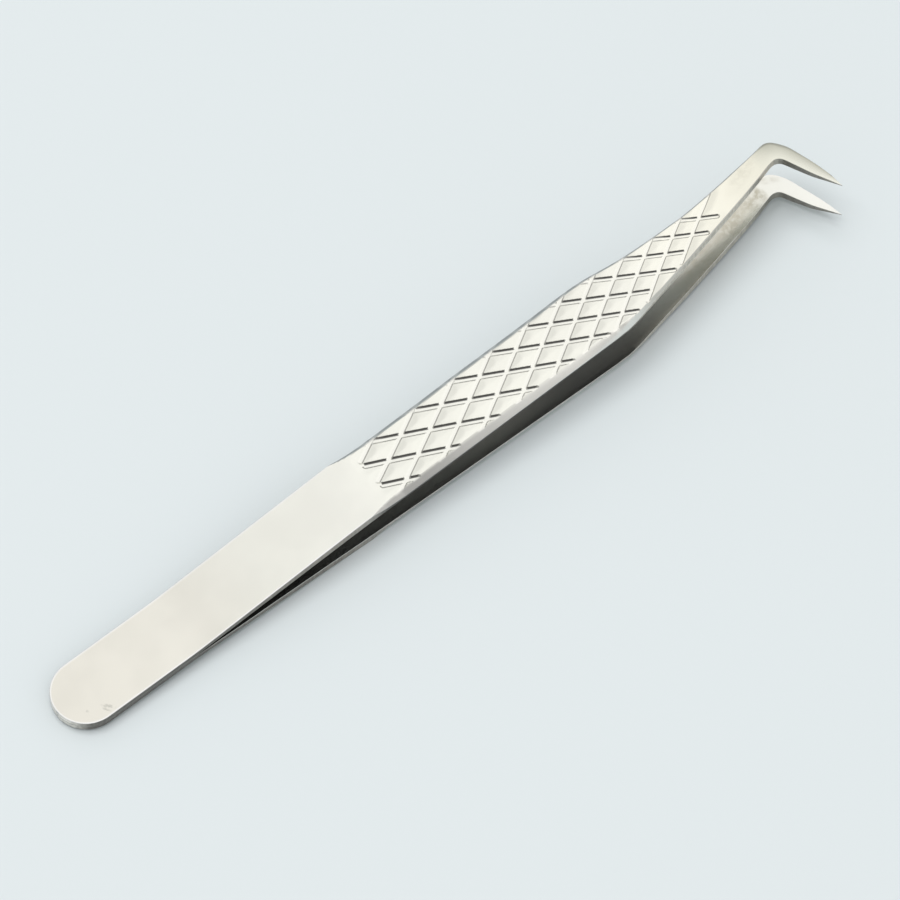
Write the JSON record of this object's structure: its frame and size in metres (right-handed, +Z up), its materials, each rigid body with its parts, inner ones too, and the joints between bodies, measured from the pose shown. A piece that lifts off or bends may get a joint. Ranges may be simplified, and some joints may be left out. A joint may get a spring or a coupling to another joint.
{
  "type": "boot-tip tweezers",
  "caption": "Spring steel lash tweezers with a diamond-cut grip and bent needle points, lying on one side.",
  "frame": {"origin": "centre of the flat grip face that the lower arm rests on", "axes": "+X from the tail to the tips, +Z up from the table, the tips bend towards -Y"},
  "size_m": [0.1323, 0.0118, 0.0118],
  "materials": {
    "arm_steel": "satin ground stainless steel",
    "weld_steel": "resolidified weld metal"
  },
  "bodies": {
    "heel": {"upper_heel": "arm_steel", "lower_heel": "arm_steel", "spot_welds": "weld_steel"},
    "upper_arm": {"upper_arm": "arm_steel"},
    "lower_arm": {"lower_arm": "arm_steel"}
  },
  "joints": [
    {"name": "upper_arm_flex", "type": "hinge", "parent": "heel", "child": "upper_arm", "pos_m": [-0.04902, 0, 0.00191], "axis": [0, 1, 0], "range_deg": [0, 1.97], "stiffness_Nm_per_rad": 6.5},
    {"name": "lower_arm_flex", "type": "hinge", "parent": "heel", "child": "lower_arm", "pos_m": [-0.04902, 0, 0.00191], "axis": [0, -1, 0], "range_deg": [0, 1.97], "stiffness_Nm_per_rad": 6.5}
  ]
}
